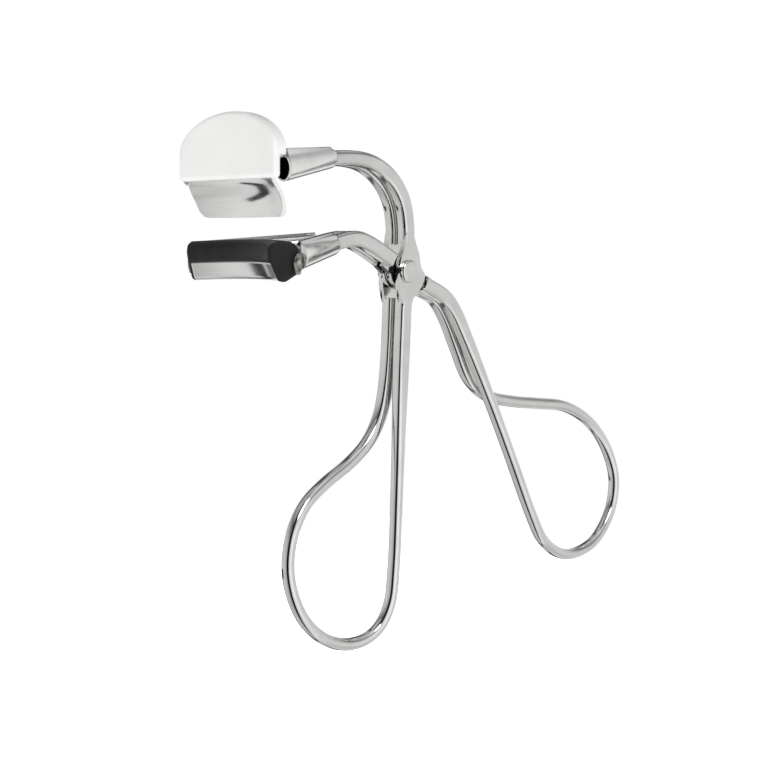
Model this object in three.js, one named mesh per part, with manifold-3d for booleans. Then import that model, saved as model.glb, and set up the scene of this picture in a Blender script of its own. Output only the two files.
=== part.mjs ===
// Eyelash curler with an eyelid guard: two bent-rod levers, riveted where they
// cross, that close a curved steel bar onto a silicone pad.
//
// Frame, in millimetres: the origin is the middle of the rivet's axis.
// -X points at the eye, +Z is up with the handles hanging down, and -Y is the
// near side. The tool is open, as it rests in the hand.
import * as THREE from 'three';
import { mergeVertices } from 'three/addons/utils/BufferGeometryUtils.js';
import Module from 'manifold-3d';

// ---- Driving dimensions ----------------------------------------------------

const ROD = 2.5;              // diameter of both levers' rods
const HALF_SPACING = 1.65;    // from the mid-plane to a rod's centre
const GAP = 0.3;              // clearance between neighbouring pieces
const OPEN_ANGLE = 5.6;       // degrees from closed jaws to this rest position

const PIN = 2.0;              // rivet shank diameter
const HEAD = 4.7;             // rivet head diameter
const HEAD_HEIGHT = 1.0;

const EAR_OUTER = 2.78;       // outer face of the outer ears, from the mid-plane
const EAR_SPLIT = 1.4;        // outer face of the inner ears
const STOP_RADIUS = 4.8;      // rounded lobe of the outer ears
const LAP_HEIGHT = 5.2;       // half height of the slot cut in the upper rods

const JAW_CENTRE_X = -61.2;   // vertical axis that both jaws are curved about
const PAD_RADIUS = 24.2;      // from that axis to the pad's crest
const PAD_CREST = 9.85;       // height of the pad's crest when closed
const PAD_HALF_ANGLE = 31;    // degrees each side of the middle
const HOLDER_HALF_ANGLE = 29.6;
const BAR_BOTTOM = 10.0;      // lower edge of the upper jaw's bar
const BAR_TOP = 20.0;
const BAR_WALL = 0.7;
const WALL = 0.5;             // sheet thickness of the lower jaw and brackets
const HOLDER_BACK = 27.75;    // outer radius of the pad holder's back wall

const GUARD_FRONT_X = -43.2;  // front face of the guard at its two sides
const GUARD_HALF_WIDTH = 13.3;
const GUARD_BOTTOM = 16.5;
const GUARD_TOP = 28.3;
const GUARD_DEPTH = 2.7;      // from its front face to the back of its rim
const GUARD_WALL = 0.5;
const CHEEK_BOTTOM = 20.3;    // the rim ends here, above the brackets
const GUARD_SAG = 0.6;        // how far the guard's middle lies behind its sides

// The two ends of each far bracket; the near ones mirror them. The upper pair
// lies in the rest frame, and the lower pair in the closed jaw's frame.
const UPPER_REAR = { x: -20.3, y: 2.1, z: 20.95, width: 3.6, height: 3.7, fin: 0.2 };
const UPPER_FRONT = { x: -41.2, y: 13.15, z: 18.0, width: 3.2, height: 4.4, fin: 1.1 };
const LOWER_REAR = { x: -19.2, y: 2.1, z: 7.1, width: 3.7, height: 4.1, fin: 0.15 };
const LOWER_FRONT = { x: -38.2, y: 14.2, z: 6.95, width: 3.2, height: 4.7, fin: 0.15 };

const BRAZE_HALF = [0.55, 0.55, 1.45];
const BRAZE_X = -38.9;         // centre of each bead, in the closed jaw's frame
const BRAZE_Y = 14.65;
const BRAZE_Z = 5.6;

const ROD_SIDES = 10;          // even
const ARC_STEPS = 16;

// ---- Materials -------------------------------------------------------------

function material(color, roughness, metalness) {
  return new THREE.MeshStandardMaterial({ color, roughness, metalness });
}

const polishedSteel = material('#d8d8d4', 0.12, 1);
const satinSteel = material('#c8c6c2', 0.3, 1);
const braze = material('#8f8d86', 0.55, 0.9);
const whitePlastic = material('#f2f2f2', 0.35, 0);
const silicone = material('#303030', 0.5, 0);

// ---- Solids: closed meshes to manifold-3d and back --------------------------

const wasm = await Module();
wasm.setup();

function toSolid(geometry) {
  const bare = geometry.clone();
  bare.deleteAttribute('normal');
  bare.deleteAttribute('uv');
  const merged = mergeVertices(bare, 1e-5);
  return new wasm.Manifold(new wasm.Mesh({
    numProp: 3,
    vertProperties: new Float32Array(merged.attributes.position.array),
    triVerts: new Uint32Array(merged.index.array),
  }));
}

function toGeometry(solid) {
  const mesh = solid.getMesh();
  const geometry = new THREE.BufferGeometry();
  geometry.setAttribute('position', new THREE.BufferAttribute(mesh.vertProperties, 3));
  geometry.setIndex(new THREE.BufferAttribute(mesh.triVerts, 1));
  geometry.computeVertexNormals();
  return geometry;
}

function join(...geometries) {
  return toGeometry(geometries.map(toSolid).reduce((sum, solid) => sum.add(solid)));
}

function cut(geometry, ...tools) {
  return toGeometry(tools.map(toSolid).reduce((rest, tool) => rest.subtract(tool), toSolid(geometry)));
}

// ---- Shape helpers ---------------------------------------------------------

const radians = THREE.MathUtils.degToRad;

function points2(pairs) {
  return pairs.map(([x, y]) => new THREE.Vector2(x, y));
}

// A round rod along a smooth curve through the given points.
function rodAlong(points, steps) {
  const section = new THREE.Shape();
  section.absarc(0, 0, ROD / 2, 0, 2 * Math.PI);
  return new THREE.ExtrudeGeometry(section, {
    extrudePath: new THREE.CatmullRomCurve3(points.map((p) => new THREE.Vector3(...p)), false, 'centripetal'),
    steps,
    curveSegments: ROD_SIDES / 2,
    bevelEnabled: false,
  });
}

// A flat plate with its outline in X and Z, between two heights along Y.
function plate(outline, yLow, yHigh, curveSegments = 12) {
  const geometry = new THREE.ExtrudeGeometry(outline, {
    depth: yHigh - yLow,
    curveSegments,
    bevelEnabled: false,
  });
  geometry.rotateX(Math.PI / 2);
  geometry.translate(0, yHigh, 0);
  return geometry;
}

// A round disc about the rivet's axis, between two places along Y.
function disc(radius, yLow, yHigh, sides = 32) {
  const geometry = new THREE.CylinderGeometry(radius, radius, yHigh - yLow, sides);
  geometry.translate(0, (yLow + yHigh) / 2, 0);
  return geometry;
}

function block(xLow, xHigh, yLow, yHigh, zLow, zHigh) {
  const geometry = new THREE.BoxGeometry(xHigh - xLow, yHigh - yLow, zHigh - zLow);
  geometry.translate((xLow + xHigh) / 2, (yLow + yHigh) / 2, (zLow + zHigh) / 2);
  return geometry;
}

// Moves every vertex of a geometry by a function of its position.
function reshape(geometry, place) {
  const position = geometry.attributes.position;
  for (let i = 0; i < position.count; i += 1) {
    const [x, y, z] = place(position.getX(i), position.getY(i), position.getZ(i));
    position.setXYZ(i, x, y, z);
  }
  return geometry;
}

// A section of radius and height, swept round the jaws' vertical axis from one
// angle up to another, in degrees from +X towards the far side.
function arcSweep(section, fromAngle, toAngle, steps) {
  const straight = new THREE.ExtrudeGeometry(new THREE.Shape(points2(section)), {
    depth: 1,
    steps,
    bevelEnabled: false,
  });
  return reshape(straight, (radius, height, along) => {
    const angle = radians(THREE.MathUtils.lerp(toAngle, fromAngle, along));
    return [JAW_CENTRE_X + radius * Math.cos(angle), radius * Math.sin(angle), height];
  });
}

function jawSweep(section, halfAngle) {
  return arcSweep(section, -halfAngle, halfAngle, ARC_STEPS);
}

// Pulls a sweep's ends in, by a share of its angles that depends on the height.
function tapered(sweep, shareAt) {
  return reshape(sweep, (x, y, z) => {
    const radius = Math.hypot(x - JAW_CENTRE_X, y);
    const angle = Math.atan2(y, x - JAW_CENTRE_X) * shareAt(z);
    return [JAW_CENTRE_X + radius * Math.cos(angle), radius * Math.sin(angle), z];
  });
}

// ---- Levers ----------------------------------------------------------------

// Both ears of a lever lie between the same two distances from the mid-plane.
function earPair(outline, inner, outer) {
  return [plate(outline, -outer, -inner), plate(outline, inner, outer)];
}

function pinHole() {
  return disc(PIN / 2 + GAP, -EAR_OUTER - 1, EAR_OUTER + 1);
}

// One side's arm, listed from the jaw end to the ears; side is -1 near, +1 far.
function armPoints(profile, side) {
  return profile.map(([x, y, z]) => [x, side * y, z]);
}

// A point on a bracket's axis, from 0 at its rear to 1 at its front.
function onAxis(rear, front, t) {
  return ['x', 'y', 'z'].map((key) => THREE.MathUtils.lerp(rear[key], front[key], t));
}

// Turns a point of the closed lower jaw to where it rests when open.
function opened([x, y, z]) {
  const point = new THREE.Vector3(x, y, z);
  return point.applyAxisAngle(new THREE.Vector3(0, 1, 0), radians(-OPEN_ANGLE)).toArray();
}

const UPPER_ARM = [
  onAxis(UPPER_REAR, UPPER_FRONT, 0.2),
  onAxis(UPPER_REAR, UPPER_FRONT, 0.1),
  [-20.0, 1.95, 21.0],
  [-17.8, HALF_SPACING, 21.2],
  [-12.0, HALF_SPACING, 21.2],
  [-7.6, HALF_SPACING, 20.2],
  [-3.5, HALF_SPACING, 17.7],
  [-0.6, HALF_SPACING, 13.9],
  [0.5, HALF_SPACING, 9.5],
  [0.55, HALF_SPACING, 5.0],
];

// From the near ear down, round the thumb's loop and up to the far ear.
const THUMB_LOOP = [
  [-0.15, -HALF_SPACING, -6],
  [-1.1, -HALF_SPACING, -24],
  [-2.0, -HALF_SPACING, -44],
  [-2.8, -HALF_SPACING, -58],
  [-3.7, -1.4, -65.2],
  [-6.6, -0.9, -69.9],
  [-12.2, -0.3, -71.7],
  [-19.2, 0.2, -69.9],
  [-25.2, 0.5, -64.4],
  [-28.2, 0.8, -56.2],
  [-27.3, 1.0, -49.2],
  [-23.9, 1.2, -43.7],
  [-18.2, 1.45, -39.9],
  [-11.8, 1.6, -36.8],
  [-6.6, HALF_SPACING, -33.1],
  [-3.3, HALF_SPACING, -28.2],
  [-1.5, HALF_SPACING, -21.5],
  [-0.7, HALF_SPACING, -14],
  [-0.3, HALF_SPACING, -6],
];

function outerEarOutline() {
  const stopStart = radians(-51);
  const outline = new THREE.Shape();
  outline.moveTo(-1.0, LAP_HEIGHT + 0.6);
  outline.lineTo(-1.7, 3.8);
  outline.lineTo(-2.4, 2.2);
  outline.lineTo(-2.5, -2.8);
  outline.lineTo(-2.0, -4.9);
  outline.lineTo(-1.3, -LAP_HEIGHT - 0.8);
  outline.lineTo(1.1, -LAP_HEIGHT - 0.8);
  outline.lineTo(1.5, -5.1);
  outline.lineTo(2.6, -4.6);
  outline.absarc(0, 0, STOP_RADIUS, stopStart, radians(-8), false);
  outline.lineTo(3.2, 1.0);
  outline.lineTo(3.1, 3.4);
  outline.lineTo(2.4, 5.0);
  outline.lineTo(1.8, LAP_HEIGHT + 0.6);
  outline.closePath();
  return outline;
}

function upperLever() {
  const nearArm = armPoints(UPPER_ARM, -1);
  const farArm = armPoints(UPPER_ARM, 1).reverse();
  const whole = rodAlong([...nearArm, ...THUMB_LOOP, ...farArm], 104);
  const slot = block(-9, 9, -4, 4, -LAP_HEIGHT, LAP_HEIGHT);
  const innerEar = EAR_SPLIT + GAP;
  return cut(join(cut(whole, slot), ...earPair(outerEarOutline(), innerEar, EAR_OUTER)), pinHole());
}

const LOWER_ARM = [
  opened(onAxis(LOWER_REAR, LOWER_FRONT, 0.2)),
  opened(onAxis(LOWER_REAR, LOWER_FRONT, 0.1)),
  [-19.4, 2.0, 5.4],
  [-17.2, HALF_SPACING, 5.85],
  [-15.0, HALF_SPACING, 6.25],
  [-12.6, HALF_SPACING, 6.3],
  [-9.4, HALF_SPACING, 5.25],
  [-6.0, HALF_SPACING, 3.6],
];

// From the near ear down, round the fingers' loop and up to the far ear.
const FINGER_LOOP = [
  [6.6, -HALF_SPACING, -3.0],
  [11.0, -HALF_SPACING, -4.9],
  [13.9, -HALF_SPACING, -7.5],
  [17.5, -HALF_SPACING, -13.0],
  [24.3, -HALF_SPACING, -24.6],
  [32.3, -1.5, -39.0],
  [39.6, -1.3, -52.4],
  [44.2, -1.0, -59.0],
  [50.5, -0.7, -62.8],
  [57.5, -0.3, -63.7],
  [64.6, 0, -61.6],
  [70.5, 0.3, -55.4],
  [71.9, 0.5, -48.2],
  [68.9, 0.8, -40.8],
  [62.6, 1.0, -34.5],
  [54.4, 1.2, -30.6],
  [45.5, 1.35, -29.3],
  [36.5, 1.5, -28.2],
  [27.8, HALF_SPACING, -26.2],
  [22.5, HALF_SPACING, -22.3],
  [18.9, HALF_SPACING, -15.8],
  [15.6, HALF_SPACING, -9.6],
  [12.2, HALF_SPACING, -5.4],
  [6.6, HALF_SPACING, -3.0],
];

function innerEarOutline() {
  const outline = new THREE.Shape();
  const slope = radians(-27);
  const flare = radians(40);
  const neck = 6.2;
  const halfNeck = 1.2;
  const along = [Math.cos(slope), Math.sin(slope)];
  const across = [-along[1], along[0]];
  const corner = (a, b) => [a * along[0] + b * across[0], a * along[1] + b * across[1]];
  outline.moveTo(...corner(neck, -halfNeck));
  outline.lineTo(...corner(neck, halfNeck));
  outline.absarc(0, 0, 3.4, slope + flare, slope + Math.PI - flare, false);
  outline.lineTo(...corner(-neck + 1, halfNeck));
  outline.lineTo(...corner(-neck + 1, -halfNeck));
  outline.absarc(0, 0, 3.4, slope + Math.PI + flare, slope + 2 * Math.PI - flare, false);
  outline.closePath();
  return outline;
}

// The outer half of each rod is cut away round the rivet, where the upper
// lever's ears lie; the cut reaches further on the handle side.
function lapCuts(side) {
  const yLow = Math.min(side * EAR_SPLIT, side * 4);
  const yHigh = Math.max(side * EAR_SPLIT, side * 4);
  const lobe = new THREE.Shape();
  lobe.absarc(0, 0, STOP_RADIUS + 0.45, -Math.PI / 2, Math.PI / 2, false);
  lobe.closePath();
  return [disc(3.9, yLow, yHigh), plate(lobe, yLow, yHigh, 24)];
}

function lowerLever() {
  const nearArm = armPoints(LOWER_ARM, -1);
  const farArm = armPoints(LOWER_ARM, 1).reverse();
  const whole = rodAlong([...nearArm, ...FINGER_LOOP, ...farArm], 104);
  const lapped = cut(whole, ...lapCuts(-1), ...lapCuts(1));
  const innermost = HALF_SPACING - ROD / 2 + 0.02;
  return cut(join(lapped, ...earPair(innerEarOutline(), innermost, EAR_SPLIT)), pinHole());
}

// ---- Rivet -----------------------------------------------------------------

function pivotRivet() {
  const seat = EAR_OUTER + GAP;
  const top = seat + HEAD_HEIGHT;
  const rim = HEAD / 2;
  const profile = points2([
    [0, -top],
    [rim - 0.45, -top],
    [rim, -top + 0.5],
    [rim, -seat],
    [PIN / 2, -seat],
    [PIN / 2, seat],
    [rim, seat],
    [rim, top - 0.5],
    [rim - 0.45, top],
    [0, top],
  ]);
  return new THREE.LatheGeometry(profile, 28);
}

// A thin ring that keeps the two inner ears apart.
function pivotSpacer() {
  const room = HALF_SPACING - ROD / 2 + 0.02;
  const half = room - GAP + 0.03;
  return cut(disc(2.6, -half, half), disc(PIN / 2 + GAP, -2, 2));
}

// ---- Brackets --------------------------------------------------------------

// A straight piece from one end of a bracket to the other, its section scaled
// and shifted along the way. An end is {x, y, z, width, height, fin}.
function alongBracket(outline, rear, front, steps, place) {
  const piece = new THREE.ExtrudeGeometry(outline, { depth: 1, steps, curveSegments: 8, bevelEnabled: false });
  const run = new THREE.Vector2(front.x - rear.x, front.y - rear.y).normalize();
  return reshape(piece, (a, b, t) => {
    const mix = (key) => THREE.MathUtils.lerp(rear[key], front[key], t);
    const [across, up] = place(a, b, mix);
    return [mix('x') - across * run.y, mix('y') + across * run.x, mix('z') + up];
  });
}

// A tube that is round at the rod and flattened towards the jaw.
function bracketTube(rear, front, grow) {
  const circle = new THREE.Shape();
  circle.absarc(0, 0, 1, 0, 2 * Math.PI);
  return alongBracket(circle, rear, front, 2, (a, b, mix) => [
    a * (mix('width') / 2 + grow),
    b * (mix('height') / 2 + grow),
  ]);
}

// The folded seam of the tube's sheet, standing along its top.
function bracketSeam(rear, front) {
  const half = 0.35;
  const strip = new THREE.Shape(points2([[-half, 0], [half, 0], [half, 1], [-half, 1]]));
  return alongBracket(strip, rear, front, 2, (a, b, mix) => [
    a,
    mix('height') / 2 - 2 * WALL + b * (mix('fin') + 2 * WALL),
  ]);
}

// The two ends of a bracket's bore, as shares of the way from its rear to its
// front: it runs out of the rear, and out of the front where that is open.
function boreEnds(rear, front, boreFront) {
  const at = (t) => Object.fromEntries(
    Object.keys(rear).map((key) => [key, THREE.MathUtils.lerp(rear[key], front[key], t)]),
  );
  return [at(-0.03), at(boreFront)];
}

function bracket(rear, front, side, boreFront, clearances) {
  const ends = [rear, front].map((end) => ({ ...end, y: side * end.y }));
  const outside = join(bracketTube(...ends, 0), bracketSeam(...ends));
  const bore = bracketTube(...boreEnds(...ends, boreFront), -WALL);
  return cut(outside, bore, ...clearances);
}

// Brazing metal low on the front end of a lower bracket, beside the pad's end.
function brazeBead(side) {
  const bead = new THREE.SphereGeometry(1, 12, 8);
  bead.scale(...BRAZE_HALF);
  bead.translate(BRAZE_X, side * BRAZE_Y, BRAZE_Z);
  return bead;
}

// ---- Upper jaw and guard ---------------------------------------------------

// The bar slopes back below the guard, then drops straight to its edge.
const BAR_FRONT = 21.9;
const BAR_BACK = 24.1;
const BAR_TOP_ANGLE = 31.2;     // half angle above the fold
const BAR_BOTTOM_ANGLE = 28;    // and at its lower edge

function upperJawBar() {
  const section = [
    [BAR_FRONT, BAR_TOP],
    [BAR_FRONT, 16.2],
    [BAR_BACK, 12.9],
    [BAR_BACK, BAR_BOTTOM],
    [BAR_BACK + BAR_WALL, BAR_BOTTOM],
    [BAR_BACK + BAR_WALL, 13.2],
    [BAR_FRONT + BAR_WALL, 16.5],
    [BAR_FRONT + BAR_WALL, BAR_TOP],
  ];
  return tapered(jawSweep(section, BAR_TOP_ANGLE), (height) => {
    const up = THREE.MathUtils.smoothstep(height, BAR_BOTTOM, 16);
    return THREE.MathUtils.lerp(BAR_BOTTOM_ANGLE / BAR_TOP_ANGLE, 1, up);
  });
}

// A dome whose front is gently curved; its middle lies behind its two sides.
function guardOutline(inset) {
  const half = GUARD_HALF_WIDTH - inset;
  const top = GUARD_TOP - inset;
  const shoulder = 21.2;
  const outline = new THREE.Shape();
  outline.moveTo(-half, GUARD_BOTTOM - inset);
  outline.lineTo(half, GUARD_BOTTOM - inset);
  outline.lineTo(half, shoulder);
  outline.bezierCurveTo(half, 24.9, half * 0.54, top, 0, top);
  outline.bezierCurveTo(-half * 0.54, top, -half, 24.9, -half, shoulder);
  outline.closePath();
  return outline;
}

function guardLayer(inset, depthLow, depthHigh) {
  const flat = new THREE.ExtrudeGeometry(guardOutline(inset), {
    depth: depthHigh - depthLow,
    curveSegments: 14,
    bevelEnabled: false,
  });
  return reshape(flat, (across, up, depth) => {
    const sag = GUARD_SAG * (1 - (across / GUARD_HALF_WIDTH) ** 2);
    return [GUARD_FRONT_X + depthLow + depth + sag, across, up];
  });
}

// A thin front plate, with a rim behind its edge from the cheeks upward. Below
// the cheeks only the plate goes on, as a foot in front of the bar.
function eyelidGuard() {
  const rimWall = 1.2;
  const hollow = guardLayer(rimWall, GUARD_WALL, GUARD_DEPTH + 3);
  const foot = block(GUARD_FRONT_X + GUARD_WALL, -30, -20, 20, GUARD_BOTTOM - 3, CHEEK_BOTTOM);
  return cut(guardLayer(0, 0, GUARD_DEPTH), hollow, foot);
}

// ---- Lower jaw, drawn closed -----------------------------------------------

// A sheet channel that slants out at its front lip.
function padHolder() {
  const section = [
    [22.2, 5.85],
    [23.2, 3.0],
    [24.4, 2.55],
    [HOLDER_BACK, 4.4],
    [HOLDER_BACK, 7.6],
    [HOLDER_BACK - WALL, 7.6],
    [HOLDER_BACK - WALL, 4.7],
    [24.45, 3.15],
    [23.65, 3.35],
    [22.7, 6.0],
  ];
  return jawSweep(section, HOLDER_HALF_ANGLE);
}

// The pad's stem sits in the channel, its rounded head stands over the lip, and
// at each end it swells out past the channel's cut edge.
function lashPad() {
  const section = [
    [23.05, 6.3],
    [23.05, 5.9],
    [23.95, 3.65],
    [24.45, 3.5],
    [26.95, 4.95],
    [26.95, 8.0],
    [26.2, 9.3],
    [25.2, 9.75],
    [PAD_RADIUS, PAD_CREST],
    [23.2, 9.75],
    [22.3, 9.3],
    [21.7, 8.2],
    [21.7, 6.9],
    [22.2, 6.3],
  ];
  const endSection = [
    [22.0, 7.2],
    [23.3, 2.9],
    [24.4, 2.6],
    [HOLDER_BACK - 0.2, 4.3],
    [HOLDER_BACK - 0.4, 7.2],
  ];
  const endStart = HOLDER_HALF_ANGLE + 0.65;
  const ends = [-1, 1].map((side) => {
    const reach = [side * endStart, side * PAD_HALF_ANGLE].sort((a, b) => a - b);
    return arcSweep(endSection, ...reach, 1);
  });
  return join(jawSweep(section, PAD_HALF_ANGLE), ...ends);
}

// ---- Assembly --------------------------------------------------------------

const upper = new THREE.Group();
const lower = new THREE.Group();
const lowerJaw = new THREE.Group();
lowerJaw.rotation.y = radians(-OPEN_ANGLE);
lower.add(lowerJaw);

function place(group, name, geometry, look) {
  const mesh = new THREE.Mesh(geometry, look);
  mesh.name = name;
  group.add(mesh);
}

place(upper, 'upper_lever', upperLever(), polishedSteel);
place(upper, 'upper_jaw_bar', upperJawBar(), satinSteel);
place(upper, 'eyelid_guard', eyelidGuard(), whitePlastic);
place(upper, 'pivot_rivet', pivotRivet(), polishedSteel);
place(upper, 'pivot_spacer', pivotSpacer(), satinSteel);

place(lower, 'lower_lever', lowerLever(), polishedSteel);
place(lowerJaw, 'pad_holder', padHolder(), satinSteel);
place(lowerJaw, 'lash_pad', lashPad(), silicone);

const barRoom = jawSweep([[18, 10], [BAR_FRONT + BAR_WALL + GAP, 10], [BAR_FRONT + BAR_WALL + GAP, 25], [18, 25]], 50);
const guardRoom = block(-50, GUARD_FRONT_X + GUARD_DEPTH + GAP, -20, 20, CHEEK_BOTTOM - GAP, 35);
const frontRoom = block(-50, GUARD_FRONT_X + GUARD_WALL + GAP, -20, 20, 10, 35);
const holderRoom = jawSweep([[18, -5], [HOLDER_BACK + GAP, -5], [HOLDER_BACK + GAP, 15], [18, 15]], 50);

for (const [name, side] of [['near', -1], ['far', 1]]) {
  const upperCuts = [barRoom, guardRoom, frontRoom];
  place(upper, `upper_bracket_${name}`, bracket(UPPER_REAR, UPPER_FRONT, side, 1.03, upperCuts), polishedSteel);
  place(lowerJaw, `lower_bracket_${name}`, bracket(LOWER_REAR, LOWER_FRONT, side, 0.78, [holderRoom]), polishedSteel);
  place(lowerJaw, `lower_braze_${name}`, brazeBead(side), braze);
}

const curler = new THREE.Group();
curler.add(upper, lower);

export default curler;
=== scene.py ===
"""Eyelash curler: fine visual pieces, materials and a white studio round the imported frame.

Lengths are in millimetres until a mesh is made, and the frame's origin is the
middle of the rivet: -X points at the eye, +Z is up and -Y is the near side.
"""
import math

import bmesh
import bpy
from mathutils import Matrix, Vector


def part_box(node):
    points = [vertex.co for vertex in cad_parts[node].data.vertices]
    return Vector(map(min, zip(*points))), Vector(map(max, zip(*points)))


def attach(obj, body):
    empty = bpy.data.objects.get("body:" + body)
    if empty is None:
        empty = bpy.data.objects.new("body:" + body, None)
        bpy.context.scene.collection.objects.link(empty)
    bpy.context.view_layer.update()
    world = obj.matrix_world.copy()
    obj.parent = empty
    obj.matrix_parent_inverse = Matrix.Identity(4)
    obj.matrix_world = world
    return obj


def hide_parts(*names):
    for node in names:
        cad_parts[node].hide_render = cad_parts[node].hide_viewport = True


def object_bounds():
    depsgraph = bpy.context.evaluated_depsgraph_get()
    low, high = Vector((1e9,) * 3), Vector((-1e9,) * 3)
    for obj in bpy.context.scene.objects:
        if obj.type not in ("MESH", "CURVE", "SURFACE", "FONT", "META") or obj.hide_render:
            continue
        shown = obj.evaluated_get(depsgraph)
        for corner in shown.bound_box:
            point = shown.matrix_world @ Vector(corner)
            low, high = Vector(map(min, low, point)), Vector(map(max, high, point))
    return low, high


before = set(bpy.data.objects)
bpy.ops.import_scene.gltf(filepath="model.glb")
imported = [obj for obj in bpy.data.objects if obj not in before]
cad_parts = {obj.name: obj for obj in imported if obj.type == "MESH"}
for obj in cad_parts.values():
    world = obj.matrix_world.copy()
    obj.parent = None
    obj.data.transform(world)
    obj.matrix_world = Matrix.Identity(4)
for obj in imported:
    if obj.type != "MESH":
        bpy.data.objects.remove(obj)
CAD_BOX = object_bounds()

MM = 0.001
Y_AXIS = Vector((0, 1, 0))
OPEN_ANGLE = 5.6  # degrees that the lower jaw has dropped from closed

# ---- Driving dimensions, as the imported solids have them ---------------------

ROD = 2.5
HALF_SPACING = 1.65
PIN = 2.0
GAP = 0.3
EAR_INNER = 1.7
EAR_SPLIT = 1.4
STOP_RADIUS = 4.8
LAP_HEIGHT = 5.2
JAW_CENTRE_X = -61.2
WALL = 0.5

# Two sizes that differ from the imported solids.
EAR_OUTER = 2.86  # brings the ears nearly flush with the rods' outer sides
THIN_WALL = 0.28  # the brackets' sheet where it is drawn out to the jaw


def corners_of(node):
    """A node's lowest and highest corner, in millimetres."""
    return [Vector(corner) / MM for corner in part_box(node)]


RIVET_HIGH = corners_of("pivot_rivet")[1]
GUARD_LOW, GUARD_HIGH = corners_of("eyelid_guard")
BAR_LOW, BAR_HIGH = corners_of("upper_jaw_bar")

# ---- Numbers and curves -----------------------------------------------------


def lerp(a, b, t):
    return a + (b - a) * t


def smoothstep(low, high, value):
    t = min(1.0, max(0.0, (value - low) / (high - low)))
    return t * t * (3 - 2 * t)


def opened(point):
    """Turns a point of the closed lower jaw to where it rests when open."""
    return Matrix.Rotation(math.radians(-OPEN_ANGLE), 3, "Y") @ Vector(point)


def catmull_rom(points, per_span=24):
    """Points along a centripetal Catmull-Rom curve."""
    knots = [Vector(p) for p in points]
    knots = [2 * knots[0] - knots[1]] + knots + [2 * knots[-1] - knots[-2]]
    path = []
    for p0, p1, p2, p3 in zip(knots, knots[1:], knots[2:], knots[3:]):
        d0, d1, d2 = ((b - a).length ** 0.5 for a, b in ((p0, p1), (p1, p2), (p2, p3)))
        start = ((p1 - p0) / d0 - (p2 - p0) / (d0 + d1) + (p2 - p1) / d1) * d1
        end = ((p2 - p1) / d1 - (p3 - p1) / (d1 + d2) + (p3 - p2) / d2) * d1
        for i in range(per_span):
            t = i / per_span
            a = 2 * t**3 - 3 * t**2 + 1
            b = t**3 - 2 * t**2 + t
            path.append(p1 * a + start * b + p2 * (1 - a) + end * (t**3 - t**2))
    path.append(knots[-2])
    return path


def resample(path, step):
    """The same path with its points one even step apart."""
    lengths = [0.0]
    for a, b in zip(path, path[1:]):
        lengths.append(lengths[-1] + (b - a).length)
    count = max(2, round(lengths[-1] / step))
    result = []
    k = 0
    for i in range(count + 1):
        target = lengths[-1] * i / count
        while k < len(path) - 2 and lengths[k + 1] < target:
            k += 1
        span = lengths[k + 1] - lengths[k]
        result.append(path[k].lerp(path[k + 1], (target - lengths[k]) / span if span else 0))
    return result


def relax(path, rounds):
    """Evens out a path's curvature; its ends stay."""
    for _ in range(rounds):
        middle = [(a + 2 * b + c) / 4 for a, b, c in zip(path, path[1:], path[2:])]
        path = [path[0], *middle, path[-1]]
    return path


def rounded_polygon(corners, radius, steps=5):
    """A closed outline of (x, y) corners, each with a round of up to the radius."""
    outline = []
    count = len(corners)
    for i, corner in enumerate(corners):
        here = Vector(corner[:2])
        before = Vector(corners[i - 1][:2]) - here
        after = Vector(corners[(i + 1) % count][:2]) - here
        reach = corner[2] if len(corner) > 2 else radius
        reach = min(reach, before.length * 0.45, after.length * 0.45)
        start = here + before.normalized() * reach
        end = here + after.normalized() * reach
        for k in range(steps + 1):
            t = k / steps
            outline.append(start * (1 - t) ** 2 + here * 2 * t * (1 - t) + end * t**2)
    return outline


def rod_section(half_width, half_thickness, corner, steps=7):
    """A rounded rectangle about the origin; a corner as large as the halves makes it round."""
    corner = min(corner, half_width, half_thickness)
    section = []
    for quarter in range(4):
        centre = Vector(((half_width - corner) * (1, -1, -1, 1)[quarter],
                         (half_thickness - corner) * (1, 1, -1, -1)[quarter]))
        for k in range(steps):
            angle = math.pi / 2 * (quarter + k / (steps - 1))
            section.append(centre + corner * Vector((math.cos(angle), math.sin(angle))))
    return section


# ---- Meshes -----------------------------------------------------------------


def new_object(name, vertices, faces):
    """A piece from points in millimetres, with its faces turned outwards."""
    mesh = bpy.data.meshes.new(name)
    mesh.from_pydata([Vector(v) * MM for v in vertices], [], faces)
    piece = bpy.data.objects.new(name, mesh)
    bpy.context.scene.collection.objects.link(piece)
    edit(piece, lambda bm: bmesh.ops.recalc_face_normals(bm, faces=bm.faces))
    return piece


def edit(piece, change):
    bm = bmesh.new()
    bm.from_mesh(piece.data)
    change(bm)
    bm.to_mesh(piece.data)
    bm.free()


def loft(name, rings, looped=False):
    """Joins rings of points into a closed solid; a looped one has no end faces."""
    size = len(rings[0])
    vertices = [point for ring in rings for point in ring]
    faces = []
    for k in range(len(rings) if looped else len(rings) - 1):
        this = k * size
        following = (k + 1) % len(rings) * size
        for i in range(size):
            j = (i + 1) % size
            faces.append((this + i, this + j, following + j, following + i))
    if not looped:
        faces.append(tuple(range(size)))
        faces.append(tuple(range((len(rings) - 1) * size, len(rings) * size)))
    return new_object(name, vertices, faces)


def prism(name, outline, y_low, y_high):
    """A plate whose outline lies in X and Z, between two heights along Y."""
    return loft(name, [[Vector((p[0], y, p[1])) for p in outline] for y in (y_low, y_high)])


def circle(radius, sides=64, start=0.0, end=360.0):
    count = sides if end - start >= 360 else sides + 1
    angles = [math.radians(lerp(start, end, i / sides)) for i in range(count)]
    return [Vector((radius * math.cos(a), radius * math.sin(a))) for a in angles]


def box_solid(name, low, high):
    outline = [(low[0], low[2]), (high[0], low[2]), (high[0], high[2]), (low[0], high[2])]
    return prism(name, outline, low[1], high[1])


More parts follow.
